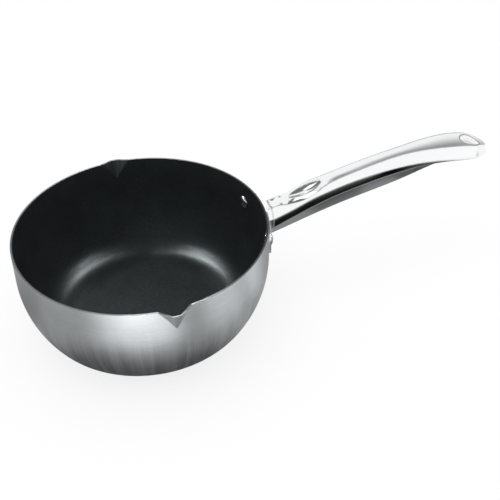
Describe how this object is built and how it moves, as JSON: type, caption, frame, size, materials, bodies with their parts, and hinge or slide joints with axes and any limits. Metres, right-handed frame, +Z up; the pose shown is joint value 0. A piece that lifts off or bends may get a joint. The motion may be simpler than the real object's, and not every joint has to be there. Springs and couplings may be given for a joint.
{
  "type": "milk pan",
  "caption": "Small round-bottomed steel pan with pouring lips pinched in its rim, a dark non-stick inside and a riveted hollow steel handle with a hanging hole.",
  "frame": {"origin": "centre of the base underside, on the surface that the pan stands on", "axes": "+Z is up, out of the pan's mouth; +X runs from the pan's axis along the handle; the pouring lips point along +Y and -Y"},
  "size_m": [0.3782, 0.1924, 0.0993],
  "materials": {
    "pan_steel": "brushed round the pan's axis",
    "nonstick": "matte dark non-stick coating",
    "handle_steel": "mirror-polished stainless steel",
    "rivet_steel": "polished stainless steel"
  },
  "bodies": {
    "root": {"pan_body": "pan_steel", "nonstick_coating": "nonstick", "handle_rivets": "rivet_steel", "handle_bracket": "handle_steel", "handle_upper_shell": "handle_steel", "handle_lower_shell": "handle_steel"}
  },
  "joints": []
}
